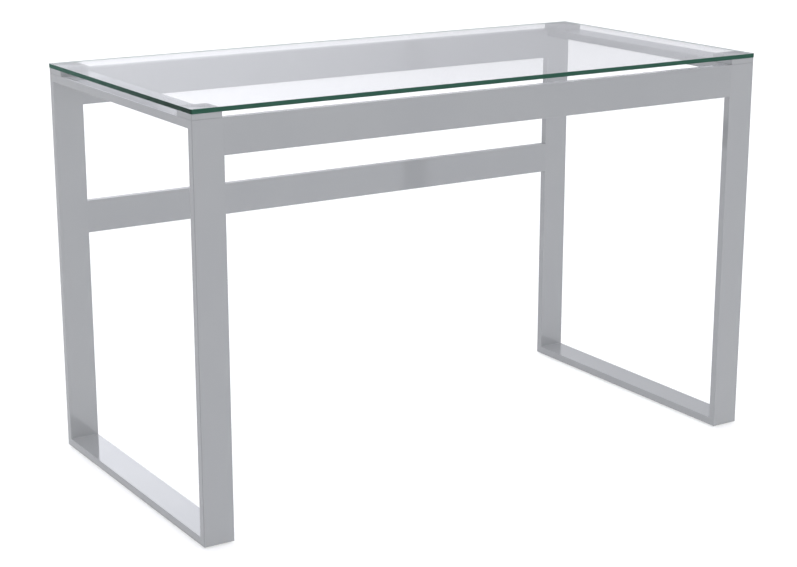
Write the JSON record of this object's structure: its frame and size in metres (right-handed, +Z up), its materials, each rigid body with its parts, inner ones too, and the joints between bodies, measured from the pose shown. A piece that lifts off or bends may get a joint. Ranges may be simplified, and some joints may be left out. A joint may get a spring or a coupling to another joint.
{
  "type": "manicure table",
  "caption": "Rectangular table with a clear glass top on square metal blocks over two flat-tube side loops, joined by a front apron, a back apron and a low back stretcher.",
  "frame": {"origin": "on the floor under the middle of the glass top", "axes": "+X along the table's length, the sitter at -Y with the back stretcher at +Y, +Z up"},
  "size_m": [1.2, 0.6, 0.753],
  "materials": {
    "silver_tube": "bright satin nickel plate over flat steel tube",
    "silver_block": "bright satin nickel plate over steel",
    "glass": "clear float glass, polished edges, dark green seen edge on",
    "clear_bond": "clear cured resin",
    "bare_steel": "mill finish steel plate",
    "fasteners": "zinc plated screws",
    "black_nylon": "moulded nylon"
  },
  "bodies": {
    "root": {"glass_top": "glass", "left_front_leg": "silver_tube", "left_back_leg": "silver_tube", "left_top_rail": "silver_tube", "left_floor_rail": "silver_tube", "right_front_leg": "silver_tube", "right_back_leg": "silver_tube", "right_top_rail": "silver_tube", "right_floor_rail": "silver_tube", "front_apron": "silver_tube", "front_apron_tongue_left": "bare_steel", "front_apron_screw_left_lower": "fasteners", "front_apron_screw_left_upper": "fasteners", "front_apron_tongue_right": "bare_steel", "front_apron_screw_right_lower": "fasteners", "front_apron_screw_right_upper": "fasteners", "back_apron": "silver_tube", "back_apron_tongue_left": "bare_steel", "back_apron_screw_left_lower": "fasteners", "back_apron_screw_left_upper": "fasteners", "back_apron_tongue_right": "bare_steel", "back_apron_screw_right_lower": "fasteners", "back_apron_screw_right_upper": "fasteners", "back_stretcher": "silver_tube", "back_stretcher_tongue_left": "bare_steel", "back_stretcher_screw_left_lower": "fasteners", "back_stretcher_screw_left_upper": "fasteners", "back_stretcher_tongue_right": "bare_steel", "back_stretcher_screw_right_lower": "fasteners", "back_stretcher_screw_right_upper": "fasteners", "spacer_block_front_left": "silver_block", "bond_pad_front_left": "clear_bond", "block_screw_front_left": "fasteners", "floor_glide_front_left": "black_nylon", "spacer_block_front_right": "silver_block", "bond_pad_front_right": "clear_bond", "block_screw_front_right": "fasteners", "floor_glide_front_right": "black_nylon", "spacer_block_back_left": "silver_block", "bond_pad_back_left": "clear_bond", "block_screw_back_left": "fasteners", "floor_glide_back_left": "black_nylon", "spacer_block_back_right": "silver_block", "bond_pad_back_right": "clear_bond", "block_screw_back_right": "fasteners", "floor_glide_back_right": "black_nylon"}
  },
  "joints": []
}
